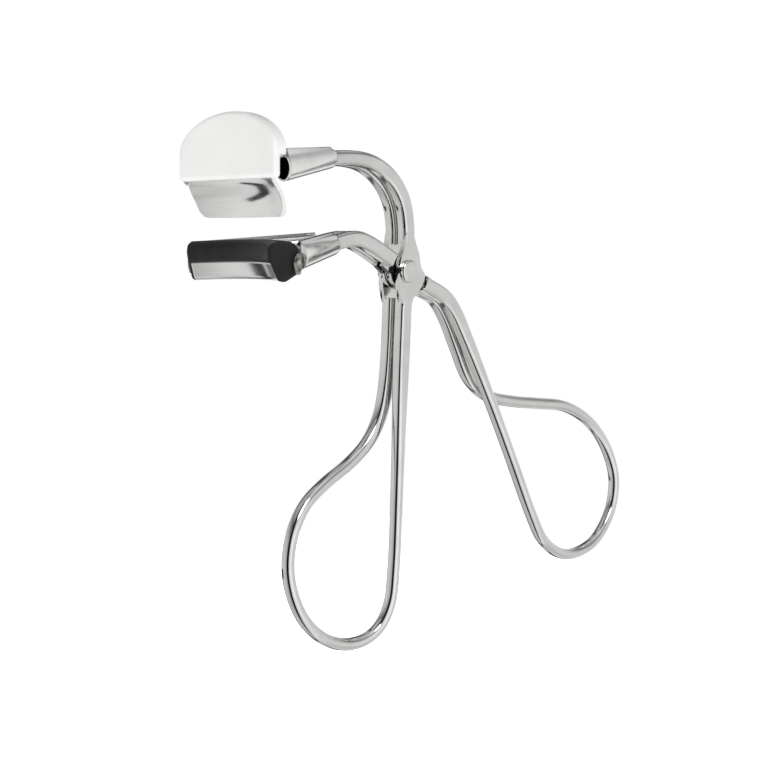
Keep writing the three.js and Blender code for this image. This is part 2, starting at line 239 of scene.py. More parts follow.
def apply_modifiers(piece):
    depsgraph = bpy.context.evaluated_depsgraph_get()
    mesh = bpy.data.meshes.new_from_object(piece.evaluated_get(depsgraph))
    piece.modifiers.clear()
    old = piece.data
    piece.data = mesh
    mesh.name = piece.name
    bpy.data.meshes.remove(old)


def combine(piece, operation, *tools):
    """Cuts the tools from a piece or joins them to it, and deletes them."""
    for tool in tools:
        modifier = piece.modifiers.new(operation.lower(), "BOOLEAN")
        modifier.operation = operation
        modifier.solver = "MANIFOLD"
        modifier.object = tool
        apply_modifiers(piece)
        bpy.data.objects.remove(tool)


def finish_edges(piece, width, angle=38, segments=2):
    """Rounds a piece's sharp edges by a width in millimetres and shades it smooth."""
    edit(piece, lambda bm: bmesh.ops.remove_doubles(bm, verts=bm.verts, dist=0.004 * MM))
    bevel = piece.modifiers.new("bevel", "BEVEL")
    bevel.width = width * MM
    bevel.segments = segments
    bevel.limit_method = "ANGLE"
    bevel.angle_limit = math.radians(angle)
    bevel.miter_outer = "MITER_ARC"
    apply_modifiers(piece)
    smooth(piece)
    weighted = piece.modifiers.new("weighted", "WEIGHTED_NORMAL")
    weighted.keep_sharp = True
    apply_modifiers(piece)


def smooth(piece, angle=40):
    piece.data.shade_smooth()
    piece.data.set_sharp_from_angle(angle=math.radians(angle))


# ---- Levers -----------------------------------------------------------------

# The two ends of each far bracket. The upper pair lies in the rest frame and
# the lower pair in the closed jaw's frame.
UPPER_REAR = {"x": -20.3, "y": 2.1, "z": 20.95, "width": 3.6, "height": 3.7, "fin": 0.2}
UPPER_FRONT = {"x": -41.2, "y": 13.15, "z": 18.0, "width": 3.2, "height": 4.4, "fin": 1.1}
LOWER_REAR = {"x": -19.2, "y": 2.1, "z": 7.1, "width": 3.7, "height": 4.1, "fin": 0.15}
LOWER_FRONT = {"x": -38.2, "y": 14.2, "z": 6.95, "width": 3.2, "height": 4.7, "fin": 0.15}


def on_axis(rear, front, t):
    return [lerp(rear[key], front[key], t) for key in "xyz"]


UPPER_ARM = [
    on_axis(UPPER_REAR, UPPER_FRONT, 0.2),
    on_axis(UPPER_REAR, UPPER_FRONT, 0.1),
    (-20.0, 1.95, 21.0),
    (-17.8, HALF_SPACING, 21.2),
    (-12.0, HALF_SPACING, 21.2),
    (-7.6, HALF_SPACING, 20.2),
    (-3.5, HALF_SPACING, 17.7),
    (-0.6, HALF_SPACING, 13.9),
    (0.5, HALF_SPACING, 9.5),
    (0.55, HALF_SPACING, 5.0),
]

# From the near ear down, round the thumb's loop and up to the far ear.
THUMB_LOOP = [
    (-0.15, -HALF_SPACING, -6),
    (-1.1, -HALF_SPACING, -24),
    (-2.0, -HALF_SPACING, -44),
    (-2.8, -HALF_SPACING, -58),
    (-3.7, -1.4, -65.2),
    (-6.6, -0.9, -69.9),
    (-12.2, -0.3, -71.7),
    (-19.2, 0.2, -69.9),
    (-25.2, 0.5, -64.4),
    (-28.2, 0.8, -56.2),
    (-27.3, 1.0, -49.2),
    (-23.9, 1.2, -43.7),
    (-18.2, 1.45, -39.9),
    (-11.8, 1.6, -36.8),
    (-6.6, HALF_SPACING, -33.1),
    (-3.3, HALF_SPACING, -28.2),
    (-1.5, HALF_SPACING, -21.5),
    (-0.7, HALF_SPACING, -14),
    (-0.3, HALF_SPACING, -6),
]

LOWER_ARM = [
    opened(on_axis(LOWER_REAR, LOWER_FRONT, 0.2)),
    opened(on_axis(LOWER_REAR, LOWER_FRONT, 0.1)),
    (-19.4, 2.0, 5.4),
    (-17.2, HALF_SPACING, 5.85),
    (-15.0, HALF_SPACING, 6.25),
    (-12.6, HALF_SPACING, 6.3),
    (-9.4, HALF_SPACING, 5.25),
    (-6.0, HALF_SPACING, 3.6),
]

# From the near ear down, round the fingers' loop and up to the far ear.
FINGER_LOOP = [
    (6.6, -HALF_SPACING, -3.0),
    (11.0, -HALF_SPACING, -4.9),
    (13.9, -HALF_SPACING, -7.5),
    (17.5, -HALF_SPACING, -13.0),
    (24.3, -HALF_SPACING, -24.6),
    (32.3, -1.5, -39.0),
    (39.6, -1.3, -52.4),
    (44.2, -1.0, -59.0),
    (50.5, -0.7, -62.8),
    (57.5, -0.3, -63.7),
    (64.6, 0, -61.6),
    (70.5, 0.3, -55.4),
    (71.9, 0.5, -48.2),
    (68.9, 0.8, -40.8),
    (62.6, 1.0, -34.5),
    (54.4, 1.2, -30.6),
    (45.5, 1.35, -29.3),
    (36.5, 1.5, -28.2),
    (27.8, HALF_SPACING, -26.2),
    (22.5, HALF_SPACING, -22.3),
    (18.9, HALF_SPACING, -15.8),
    (15.6, HALF_SPACING, -9.6),
    (12.2, HALF_SPACING, -5.4),
    (6.6, HALF_SPACING, -3.0),
]

ROD_STEP = 0.45
SQUARE_CORNER = 0.75    # corner radius of the rods near the rivet
NECK_DEPTH = 3.0        # the rods' depth in the plane of their bends, near the rivet
LOOP_DEPTH = 2.4        # and in the loops
SQUARE_REACH = (14, 46)  # distances from the rivet between which the rods turn round


def lever_path(arm, loop):
    near = [Vector((x, -y, z)) for x, y, z in arm]
    far = [Vector((x, y, z)) for x, y, z in reversed(arm)]
    route = near + [Vector(p) for p in loop] + far
    return relax(resample(catmull_rom(route), ROD_STEP), 12)


def rod(name, path):
    """The bent rod: square with rounded corners near the rivet, and round in the loops."""
    rings = []
    for i, point in enumerate(path):
        tangent = path[min(i + 1, len(path) - 1)] - path[max(i - 1, 0)]
        up = tangent.cross(Y_AXIS).normalized()
        side = up.cross(tangent).normalized()
        away = smoothstep(*SQUARE_REACH, math.hypot(point.x, point.z))
        depth = lerp(NECK_DEPTH, LOOP_DEPTH, away)
        section = rod_section(depth / 2, ROD / 2, lerp(SQUARE_CORNER, depth / 2, away))
        rings.append([point + up * a + side * b for a, b in section])
    return loft(name, rings)


def outer_ear_outline():
    lobe = [(*p, 0.2) for p in circle(STOP_RADIUS, 10, -51, -8)]
    corners = [
        (-0.5, LAP_HEIGHT + 2.6),
        (-0.85, LAP_HEIGHT + 1.2),
        (-1.2, 4.4),
        (-2.2, 2.0),
        (-2.5, -2.8),
        (-2.0, -4.9),
        (-1.35, -LAP_HEIGHT - 1.4),
        (1.05, -LAP_HEIGHT - 1.4),
        (1.3, -5.2),
        (2.6, -4.5),
        *lobe,
        (3.5, 0.8),
        (3.1, 3.4),
        (2.3, 5.0),
        (1.75, LAP_HEIGHT + 1.4),
    ]
    return rounded_polygon(corners, 0.9)


EAR_SLOPE = -27   # degrees that the inner ears' necks drop from the arms to the loop


def inner_ear_outline():
    turn = Matrix.Rotation(math.radians(EAR_SLOPE), 2)
    neck, half_neck, flare, radius = 6.4, 1.48, 34, 3.4
    front = circle(radius, 20, flare, 180 - flare)
    rear = circle(radius, 20, 180 + flare, 360 - flare)
    outline = [(neck, -half_neck), (neck, half_neck), *front,
               (-neck + 1, half_neck), (-neck + 1, -half_neck), *rear]
    return [turn @ Vector(p) for p in outline]


def ears(name, outline, inner, outer):
    return [prism(name, outline, -outer, -inner), prism(name, outline, inner, outer)]


def pin_hole():
    return prism("hole", circle(PIN / 2 + GAP), -6, 6)


def upper_lever():
    piece = rod("upper_lever_rod", lever_path(UPPER_ARM, THUMB_LOOP))
    slot = box_solid("slot", (-9, -4, -LAP_HEIGHT), (9, 4, LAP_HEIGHT))
    combine(piece, "DIFFERENCE", slot)
    combine(piece, "UNION", *ears("ear", outer_ear_outline(), EAR_INNER, EAR_OUTER))
    combine(piece, "DIFFERENCE", pin_hole())
    finish_edges(piece, 0.14)
    return piece


FRONT_CUT = 4.3   # radius cleared for the outer ears, ahead of the rivet
LOBE_GAP = 1.0    # clearance round their lobes, behind it


def lap_cuts(side):
    y_low, y_high = sorted((side * EAR_SPLIT, side * 4))
    lobe = circle(STOP_RADIUS + LOBE_GAP, 48, -90, 90)
    return [prism("front", circle(FRONT_CUT), y_low, y_high), prism("lobe", lobe, y_low, y_high)]


def lower_lever():
    piece = rod("lower_lever_rod", lever_path(LOWER_ARM, FINGER_LOOP))
    combine(piece, "DIFFERENCE", *lap_cuts(-1), *lap_cuts(1))
    innermost = HALF_SPACING - ROD / 2 + 0.02
    combine(piece, "UNION", *ears("ear", inner_ear_outline(), innermost, EAR_SPLIT))
    combine(piece, "DIFFERENCE", pin_hole())
    finish_edges(piece, 0.12)
    return piece


# ---- Rivet ------------------------------------------------------------------


def lathe_y(name, profile, sides=72):
    """Turns (radius, y) points, listed from one end of the axis to the other, about Y."""
    rings = []
    for radius, y in profile:
        ring = [Vector((p.x, y, p.y)) for p in circle(max(radius, 0.01), sides)]
        rings.append(ring)
    return loft(name, rings)


def rivet():
    rim = RIVET_HIGH.x * 0.95
    seat = EAR_OUTER + 0.05
    top = seat + 0.85
    edge = 0.45
    head = [(0.0, top), (rim * 0.45, top - 0.01), (rim - edge - 0.3, top - 0.05)]
    head += [(rim - edge + edge * math.sin(a), top - 0.09 - edge + edge * math.cos(a))
             for a in (math.radians(10 * k) for k in range(0, 10))]
    head += [(rim, seat + 0.1), (rim - 0.1, seat), (PIN / 2, seat)]
    profile = [(r, -y) for r, y in head] + [(r, y) for r, y in reversed(head)]
    piece = lathe_y("rivet", profile)
    smooth(piece)
    return piece


# ---- Brackets ---------------------------------------------------------------


# The hollow lengths of each bracket, as shares of its length from the rod.
UPPER_BORES = [(-0.03, 1.03)]
LOWER_BORES = [(-0.03, 0.78)]
FRONT_SLANT = 0.7   # how far a bracket's outer edge reaches past its axis at the jaw
BRACKET_BITE = 0.3  # how far a lower bracket runs into the pad holder's back wall
SEAM_HALF = 0.5     # half width of the folded seam
SEAM_RISE = 0.1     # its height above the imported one


def bracket_ring(rear, front, side, t, grow, fin=True, sides=56):
    """The section of a wrapped sheet tube, with the folded seam standing on its top."""
    run = Vector((front["x"] - rear["x"], side * (front["y"] - rear["y"]), 0)).normalized()
    across = Vector((-run.y, run.x, 0))
    width, height, ridge = (lerp(rear[key], front[key], t) for key in ("width", "height", "fin"))
    x, y, z = on_axis(rear, front, t)
    centre = Vector((x, side * y, z))
    slant = FRONT_SLANT * smoothstep(0.6, 1, t) * -side / width * 2
    ring = []
    for k in range(sides):
        angle = 2 * math.pi * k / sides
        a = (width / 2 + grow) * math.cos(angle)
        b = (height / 2 + grow) * math.sin(angle)
        if fin and b > 0:
            b += (ridge + SEAM_RISE) * math.exp(-((a / SEAM_HALF) ** 4))
        ring.append(centre + across * a + run * slant * a + Vector((0, 0, b)))
    return ring


def bracket(name, rear, front, side, bores, rooms):
    stations = [i / 30 for i in range(31)]
    piece = loft(name, [bracket_ring(rear, front, side, t, 0) for t in stations])
    for start, end in bores:
        rings = [bracket_ring(rear, front, side, t, -lerp(WALL, THIN_WALL, t), fin=False)
                 for t in (lerp(start, end, i / 8) for i in range(9))]
        combine(piece, "DIFFERENCE", loft("bore", rings))
    combine(piece, "DIFFERENCE", *[room() for room in rooms])
    finish_edges(piece, 0.07)
    return piece


BEAD_SWELL = 1.25   # a bead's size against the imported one, which it overlaps
BEAD_LUMPS = 0.08   # height of its lumps, as a share of its half sizes


def braze_bead(name, side):
    """A rough lump of brazing metal where a lower bracket meets the pad holder."""
    piece = bpy.data.objects.new(name, bpy.data.meshes.new(name))
    bpy.context.scene.collection.objects.link(piece)
    low, high = corners_of("lower_braze_far" if side > 0 else "lower_braze_near")
    middle = (low + high) / 2 * MM
    half = (high - low) / 2 * MM

    def shape(bm):
        bmesh.ops.create_icosphere(bm, subdivisions=5, radius=1)
        for vertex in bm.verts:
            p = vertex.co
            coarse = math.sin(7 * p.x + 2 * p.z) * math.sin(6 * p.z + 1)
            fine = math.sin(15 * p.z + 11 * p.y)
            swell = BEAD_SWELL + BEAD_LUMPS * (coarse + 0.5 * fine)
            vertex.co = middle + Vector([p[i] * half[i] for i in range(3)]) * swell

    edit(piece, shape)
    piece.data.shade_smooth()
    return piece


# ---- Jaws: sections of (radius, height) swept round the jaws' vertical axis --


def jaw_point(radius, angle, height):
    a = math.radians(angle)
    return Vector((JAW_CENTRE_X + radius * math.cos(a), radius * math.sin(a), height))


def jaw_sweep(name, section, half_angle, steps=72):
    angles = [lerp(-half_angle, half_angle, i / steps) for i in range(steps + 1)]
    return loft(name, [[jaw_point(r, a, z) for r, z in section] for a in angles])


def jaw_room(outer, low=-5, high=35):
    section = [(18, low), (outer, low), (outer, high), (18, high)]
    return jaw_sweep("room", section, 50, 48)


BAR_FRONT = 21.9
BAR_BACK = 24.1
BAR_WALL = 0.7
BAR_UPPER_FOLD = 16.2    # heights between which it slopes
BAR_LOWER_FOLD = 12.7
BAR_TAPER_TOP = 15.5     # height up to which its ends are drawn in
BAR_TOP_ANGLE = 31.2     # half angle of its slope's upper edge
BAR_BOTTOM_ANGLE = 28.0  # and of its lower edge
BAR_CORNER = 1.9


def upper_bar():
    """The bar slopes back below the guard, then drops straight to its edge."""
    top, bottom = BAR_HIGH.z, BAR_LOW.z
    folds = [
        (BAR_FRONT, top, 0),
        (BAR_FRONT, BAR_UPPER_FOLD, 0.9),
        (BAR_BACK, BAR_LOWER_FOLD, 1.9),
        (BAR_BACK, bottom, 0),
    ]
    centre = catmull_rom([(*p, 0) for p in open_rounded(folds)], 3)
    path = resample([Vector((p.x, p.y, 0)) for p in centre], 0.25)
    front, back = [], []
    for i, point in enumerate(path):
        tangent = (path[min(i + 1, len(path) - 1)] - path[max(i - 1, 0)]).normalized()
        normal = Vector((-tangent.y, tangent.x))
        front.append(Vector(point[:2]))
        back.append(Vector(point[:2]) + normal * BAR_WALL)
    section = front + back[::-1]
    rings = []
    steps = 80
    for i in range(steps + 1):
        share = 2 * i / steps - 1
        ring = []
        for radius, height in section:
            lift = max(0.0, bottom + BAR_CORNER - height)
            inset = BAR_CORNER - math.sqrt(max(0.0, BAR_CORNER**2 - lift**2))
            taper = smoothstep(bottom, BAR_TAPER_TOP, height)
            reach = lerp(BAR_BOTTOM_ANGLE, BAR_TOP_ANGLE, taper) - math.degrees(inset / radius)
            ring.append(jaw_point(radius, share * reach, height))
        rings.append(ring)
    piece = loft("jaw_bar", rings)
    finish_edges(piece, 0.13, 50)
    return piece


def open_rounded(folds, steps=8):
    """An open line of (x, y, round) points with its inner corners rounded."""
    line = [Vector(folds[0][:2])]
    for before, fold, after in zip(folds, folds[1:], folds[2:]):
        here = Vector(fold[:2])
        start = here + (Vector(before[:2]) - here).normalized() * fold[2]
        end = here + (Vector(after[:2]) - here).normalized() * fold[2]
        for k in range(steps + 1):
            t = k / steps
            line.append(start * (1 - t) ** 2 + here * 2 * t * (1 - t) + end * t**2)
    line.append(Vector(folds[-1][:2]))
    return line


HOLDER_BACK = 27.75
HOLDER_HALF_ANGLE = 29.6
COVER_OFFSET = 0.3      # degrees past the holder's end at which the pad's end cover starts
PAD_HALF_ANGLE = 31


def pad_holder():
    section = rounded_polygon([
        (22.2, 5.85, 0.1),
        (23.2, 3.0, 0.5),
        (24.4, 2.55, 0.6),
        (HOLDER_BACK, 4.4, 0.8),
        (HOLDER_BACK, 7.6, 0.1),
        (HOLDER_BACK - WALL, 7.6, 0.1),
        (HOLDER_BACK - WALL, 4.7, 0.4),
        (24.45, 3.15, 0.3),
        (23.65, 3.35, 0.2),
        (22.7, 6.0, 0.1),
    ], 0.2)
    piece = jaw_sweep("pad_channel", section, HOLDER_HALF_ANGLE)
    finish_edges(piece, 0.12)
    return piece


PAD_SECTION = [
    (23.05, 5.98, 0.05),
    (23.05, 5.9, 0.05),
    (23.95, 3.65, 0.2),
    (24.45, 3.5, 0.2),
    (26.95, 4.95, 0.2),
    (26.95, 8.0, 1.5),
    (26.2, 9.4, 1.5),
    (24.2, 9.88, 2.0),
    (22.2, 9.3, 1.5),
    (21.7, 8.0, 1.5),
    (21.7, 6.6, 0.4),
    (22.1, 5.98, 0.3),
]
PAD_END_SECTION = [
    (21.9, 6.6, 0.8),
    (22.1, 6.1, 0.8),
    (23.2, 2.95, 0.4),
    (24.4, 2.6, 0.5),
    (27.5, 4.3, 0.5),
    (27.3, 8.0, 1.5),
    (26.4, 9.4, 1.5),
    (24.2, 9.88, 2.0),
    (22.2, 9.3, 1.5),
    (21.7, 8.2, 1.2),
    (21.7, 7.6, 0.5),
    (21.8, 7.0, 0.4),
]


def lash_pad():
    """The pad's rounded head on its stem, with a swollen cover over each end of the channel."""
    body = rounded_polygon(PAD_SECTION, 0.3, 6)
    cover = rounded_polygon(PAD_END_SECTION, 0.3, 6)
    centre = Vector((24.4, 6.6))
    cover_start = HOLDER_HALF_ANGLE + COVER_OFFSET
    edge = 0.45   # round of the pad's end faces
    half = [(lerp(0, cover_start, i / 40), body, 1.0) for i in range(41)]
    half += [(cover_start + 0.02, cover, 1.0)]
    turn = [math.radians(10 * k) for k in range(10)]
    degrees_per_mm = math.degrees(1 / 24.4)
    for a in turn:
        angle = PAD_HALF_ANGLE - edge * degrees_per_mm * (1 - math.sin(a))
        half.append((angle, cover, 1 - edge * (1 - math.cos(a)) / 3))
    for share in (0.8, 0.5, 0.2):
        half.append((PAD_HALF_ANGLE, cover, share * (1 - edge / 3)))
    stations = [(-angle, outline, scale) for angle, outline, scale in half[:0:-1]] + half
    rings = []
    for angle, outline, scale in stations:
        section = [centre + (point - centre) * scale for point in outline]
        rings.append([jaw_point(p.x, angle, p.y) for p in section])
    piece = loft("lash_pad_soft", rings)
    smooth(piece, 50)
    return piece


# ---- Guard ------------------------------------------------------------------

GUARD_SHOULDER = 21.2
CHEEK_BOTTOM = 20.3
GUARD_WALL = 0.5
GUARD_SAG = 0.6


def cubic(p0, p1, p2, p3, steps):
    points = []
    for i in range(steps):
        t = i / steps
        s = 1 - t
        shares = (s**3, 3 * s * s * t, 3 * s * t * t, t**3)
        knots = (p0, p1, p2, p3)
        points.append(sum((Vector(p) * share for p, share in zip(knots, shares)), Vector((0, 0))))
    return points


def guard_outline(inset):
    """A dome of (across, up) points, with small rounds at its two lower corners."""
    half = GUARD_HIGH.y - inset
    top = GUARD_HIGH.z - inset
    foot = GUARD_LOW.z + inset
    corner = max(0.15, 0.7 - inset)
    right = cubic((half, GUARD_SHOULDER), (half, 24.9), (half * 0.54, top), (0, top), 40)
    left = [Vector((-p.x, p.y)) for p in right[:0:-1]]
    peak = [Vector((0, top))]
    low_left = [Vector((-half + corner * (1 - math.cos(a)), foot + corner * (1 - math.sin(a))))
                for a in (math.radians(15 * k) for k in range(7))]
    low_right = [Vector((-p.x, p.y)) for p in reversed(low_left)]
    bottom = [low_left[-1].lerp(low_right[0], i / 24) for i in range(1, 24)]
    return right + peak + left + low_left + bottom + low_right


def guard_ring(inset, depth, shrink=1.0):
    """One ring of the shell; a shrink under 1 draws it in towards the middle of the face."""
    half = GUARD_HIGH.y
    middle = Vector((0, GUARD_SHOULDER))
    ring = []
    for point in guard_outline(inset):
        across, up = middle + (point - middle) * shrink
        sag = GUARD_SAG * (1 - (across / half) ** 2)
        ring.append(Vector((GUARD_LOW.x + depth + sag, across, up)))
    return ring


def guard():
    """A thin plate with a rounded front edge and a rim behind it from the cheeks upward."""
    back = GUARD_HIGH.x - GUARD_LOW.x - GUARD_SAG
    edge = 0.8
    rim = 1.2
    rounding = [math.radians(15 * k) for k in range(7)]
    face = [lerp(0.04, 1, i / 16) for i in range(16)]
    profile = [(edge, 0, share) for share in face]
    profile += [(edge * (1 - math.sin(a)), edge * (1 - math.cos(a)), 1) for a in rounding]
    profile += [(0, lerp(edge, back - 0.3, k / 4), 1) for k in (1, 2, 3, 4)]
    profile += [(0.3 * (1 - math.cos(a)), back - 0.3 + 0.3 * math.sin(a), 1) for a in rounding[1:]]
    profile += [(rim - 0.3, back, 1), (rim, back - 0.3, 1), (rim, GUARD_WALL, 1)]
    profile += [(rim, GUARD_WALL, share) for share in reversed(face)]
    piece = loft("guard_shell", [guard_ring(*station) for station in profile])
    foot = box_solid("foot", (GUARD_LOW.x + GUARD_WALL + GUARD_SAG, -30, GUARD_LOW.z - 3),
                     (-20, 30, CHEEK_BOTTOM))
    combine(piece, "DIFFERENCE", foot)
    finish_edges(piece, 0.08, 60)
    return piece


# ---- Materials --------------------------------------------------------------


class Look:
    """A material whose Principled shader is fed by small node chains."""

    def __init__(self, name, color, metallic, roughness):
        self.material = bpy.data.materials.new(name)
        self.material.use_nodes = True
        self.nodes = self.material.node_tree.nodes
        self.links = self.material.node_tree.links
        self.shader = self.nodes["Principled BSDF"]
        self.shader.inputs["Base Color"].default_value = (*color, 1)
        self.shader.inputs["Metallic"].default_value = metallic
        self.shader.inputs["Roughness"].default_value = roughness
        self.place = self.nodes.new("ShaderNodeTexCoord")

    def noise(self, scale, detail=3, stretch=(1, 1, 1), roughness=0.5):
        """Noise over the piece's own coordinates, in cells per metre."""
        mapping = self.nodes.new("ShaderNodeMapping")
        mapping.inputs["Scale"].default_value = stretch
        texture = self.nodes.new("ShaderNodeTexNoise")
        texture.inputs["Scale"].default_value = scale
        texture.inputs["Detail"].default_value = detail
        texture.inputs["Roughness"].default_value = roughness
        self.links.new(self.place.outputs["Object"], mapping.inputs["Vector"])
        self.links.new(mapping.outputs["Vector"], texture.inputs["Vector"])
        return texture.outputs["Fac"]

    def ramp(self, value, stops):
        node = self.nodes.new("ShaderNodeValToRGB")
        elements = node.color_ramp.elements
        while len(elements) < len(stops):
            elements.new(0.5)
        for element, (position, color) in zip(elements, stops):
            element.position = position
            element.color = (*color, 1)
        self.links.new(value, node.inputs["Fac"])
        return node.outputs["Color"]

    def spread(self, value, low, high):
        node = self.nodes.new("ShaderNodeMapRange")
        node.inputs["From Min"].default_value = 0.3
        node.inputs["From Max"].default_value = 0.7
        node.inputs["To Min"].default_value = low
        node.inputs["To Max"].default_value = high
        self.links.new(value, node.inputs["Value"])
        return node.outputs["Result"]

    def feed(self, socket, output):
        self.links.new(output, self.shader.inputs[socket])

    def bump(self, *layers):
        """Stacks (height, distance in millimetres, strength) bumps."""
        normal = None
        for height, distance, strength in layers:
            node = self.nodes.new("ShaderNodeBump")
            node.inputs["Distance"].default_value = distance * MM
            node.inputs["Strength"].default_value = strength
            self.links.new(height, node.inputs["Height"])
            if normal:
                self.links.new(normal, node.inputs["Normal"])
            normal = node.outputs["Normal"]
        self.feed("Normal", normal)


def grey(value):
    return (value, value, value * 0.985)


def polished_steel():
    """Mirror finish with faint polishing haze, hairlines and a little waviness."""
    look = Look("polished_steel", grey(0.86), 1.0, 0.1)
    haze = look.noise(260, 4)
    hairlines = look.noise(900, 5, (0.25, 1.0, 0.12), 0.65)
    look.feed("Roughness", look.spread(haze, 0.07, 0.15))
    look.feed("Base Color", look.ramp(haze, [(0.3, grey(0.7)), (0.7, grey(0.79))]))
    look.bump((look.noise(90, 2), 0.02, 0.25), (hairlines, 0.002, 0.35))
    return look.material


def satin_steel():
    """Pressed sheet, finely polished, with hairlines along its length."""
    look = Look("satin_steel", grey(0.9), 1.0, 0.22)
    haze = look.noise(180, 4)
    hairlines = look.noise(1400, 5, (0.5, 0.06, 1.0), 0.6)
    look.feed("Roughness", look.spread(haze, 0.12, 0.19))
    look.feed("Base Color", look.ramp(hairlines, [(0.3, grey(0.88)), (0.7, grey(0.95))]))
    look.bump((hairlines, 0.003, 0.35))
    return look.material


def white_plastic():
    look = Look("white_plastic", (0.86, 0.86, 0.86), 0.0, 0.35)
    look.shader.inputs["IOR"].default_value = 1.49
    look.shader.inputs["Subsurface Weight"].default_value = 0.15
    look.shader.inputs["Subsurface Radius"].default_value = (0.004, 0.004, 0.004)
    mottle = look.noise(120, 3)
    grain = look.noise(2600, 3)
    look.feed("Base Color", look.ramp(mottle, [(0.3, grey(0.84)), (0.7, grey(0.88))]))
    look.feed("Roughness", look.spread(grain, 0.3, 0.42))
    look.bump((look.noise(60, 1), 0.04, 0.12), (grain, 0.004, 0.3))
    return look.material


def black_silicone():
    look = Look("black_silicone", (0.03, 0.03, 0.03), 0.0, 0.5)
    look.shader.inputs["Specular IOR Level"].default_value = 0.3
    mottle = look.noise(300, 4)
    grain = look.noise(3800, 4)
    look.feed("Base Color", look.ramp(mottle, [(0.3, (0.009, 0.0088, 0.0088)),
                                               (0.7, (0.014, 0.0137, 0.0135))]))
    look.feed("Roughness", look.spread(grain, 0.42, 0.58))
    look.bump((mottle, 0.02, 0.2), (grain, 0.006, 0.5))
    return look.material


def braze_metal():
    look = Look("braze_metal", grey(0.4), 0.85, 0.5)
    lumps = look.noise(1400, 5, roughness=0.7)
    spots = look.noise(2800, 3)
    look.feed("Base Color", look.ramp(lumps, [(0.35, (0.1, 0.095, 0.085)),
                                              (0.5, (0.36, 0.35, 0.32)),
                                              (0.66, (0.7, 0.69, 0.66))]))
    look.feed("Roughness", look.spread(spots, 0.35, 0.65))
    look.bump((lumps, 0.15, 0.9))
    return look.material


# ---- Assembly of the pieces -------------------------------------------------


def fit_out(piece, material, slot, body, *nodes):
    piece.data.materials.clear()
    piece.data.materials.append(material)
    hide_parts(*nodes)
    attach(piece, body)


def drop(piece):
    """Turns a piece built in the closed jaw's frame to the rest position."""
    piece.data.transform(Matrix.Rotation(math.radians(-OPEN_ANGLE), 4, "Y"))
    return piece


def build_curler():
    polished = polished_steel()
    satin = satin_steel()
    braze = braze_metal()
    bar_back = BAR_FRONT + BAR_WALL + GAP
    cheek_back = GUARD_HIGH.x + GAP - GUARD_SAG
    plate_back = GUARD_LOW.x + GUARD_WALL + GAP
    upper_rooms = [
        lambda: jaw_room(bar_back, 10, 25),
        lambda: box_solid("room", (-50, -20, CHEEK_BOTTOM - GAP), (cheek_back, 20, 35)),
        lambda: box_solid("room", (-50, -20, 10), (plate_back, 20, 35)),
    ]
    lower_rooms = [lambda: jaw_room(HOLDER_BACK - BRACKET_BITE, -5, 15)]
    fit_out(upper_lever(), polished, "polished_steel", "upper", "upper_lever")
    fit_out(lower_lever(), polished, "polished_steel", "lower", "lower_lever")
    fit_out(rivet(), polished, "polished_steel", "upper", "pivot_rivet")
    fit_out(upper_bar(), satin, "satin_steel", "upper", "upper_jaw_bar")
    fit_out(guard(), white_plastic(), "white_plastic", "upper", "eyelid_guard")
    fit_out(drop(pad_holder()), satin, "satin_steel", "lower", "pad_holder")
    pad = drop(lash_pad())
    pad.visible_glossy = False
    fit_out(pad, black_silicone(), "silicone", "lower", "lash_pad")
    for name, side in (("near", -1), ("far", 1)):
        tube = bracket(f"upper_tube_{name}", UPPER_REAR, UPPER_FRONT, side, UPPER_BORES, upper_rooms)
        fit_out(tube, polished, "polished_steel", "upper", f"upper_bracket_{name}")
        tube = drop(bracket(f"lower_tube_{name}", LOWER_REAR, LOWER_FRONT, side, LOWER_BORES, lower_rooms))
        fit_out(tube, polished, "polished_steel", "lower", f"lower_bracket_{name}")
        bead = braze_bead(f"braze_{name}", side)
        fit_out(bead, braze, "braze", "lower", f"lower_braze_{name}")
    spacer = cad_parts["pivot_spacer"]
    spacer.data.materials.clear()
    spacer.data.materials.append(satin)


# ---- Studio -----------------------------------------------------------------

AZIMUTH = math.radians(-45)   # the camera looks from the near side, towards +X +Y
ELEVATION = math.radians(5)
FOCAL = 72.6
DISTANCE = 0.3                # metres from the rivet
SHIFT_LEFT = 0.0033           # and metres to the left of it and below it, in the picture
SHIFT_DOWN = 0.0214


def camera():
    right = Vector((math.cos(AZIMUTH), math.sin(AZIMUTH), 0))
    back = Vector((math.sin(AZIMUTH) * math.cos(ELEVATION),
                   -math.cos(AZIMUTH) * math.cos(ELEVATION), math.sin(ELEVATION)))
    up = back.cross(right)
    data = bpy.data.cameras.new("camera")
    data.lens = FOCAL
    data.sensor_width = 36
    data.clip_start = 0.01
    item = bpy.data.objects.new("camera", data)
    bpy.context.scene.collection.objects.link(item)
    place = back * DISTANCE - right * SHIFT_LEFT - up * SHIFT_DOWN
    item.matrix_world = Matrix.Translation(place) @ Matrix((right, up, back)).transposed().to_4x4()
    bpy.context.scene.camera = item


def area_light(name, place, size, power, target=(0, 0, 0)):
    data = bpy.data.lights.new(name, "AREA")
    data.shape = "DISK"
    data.size = size
    data.energy = power
    item = bpy.data.objects.new(name, data)
    item.location = place
    item.rotation_euler = (Vector(target) - Vector(place)).to_track_quat("-Z", "Y").to_euler()
    bpy.context.scene.collection.objects.link(item)
    return item


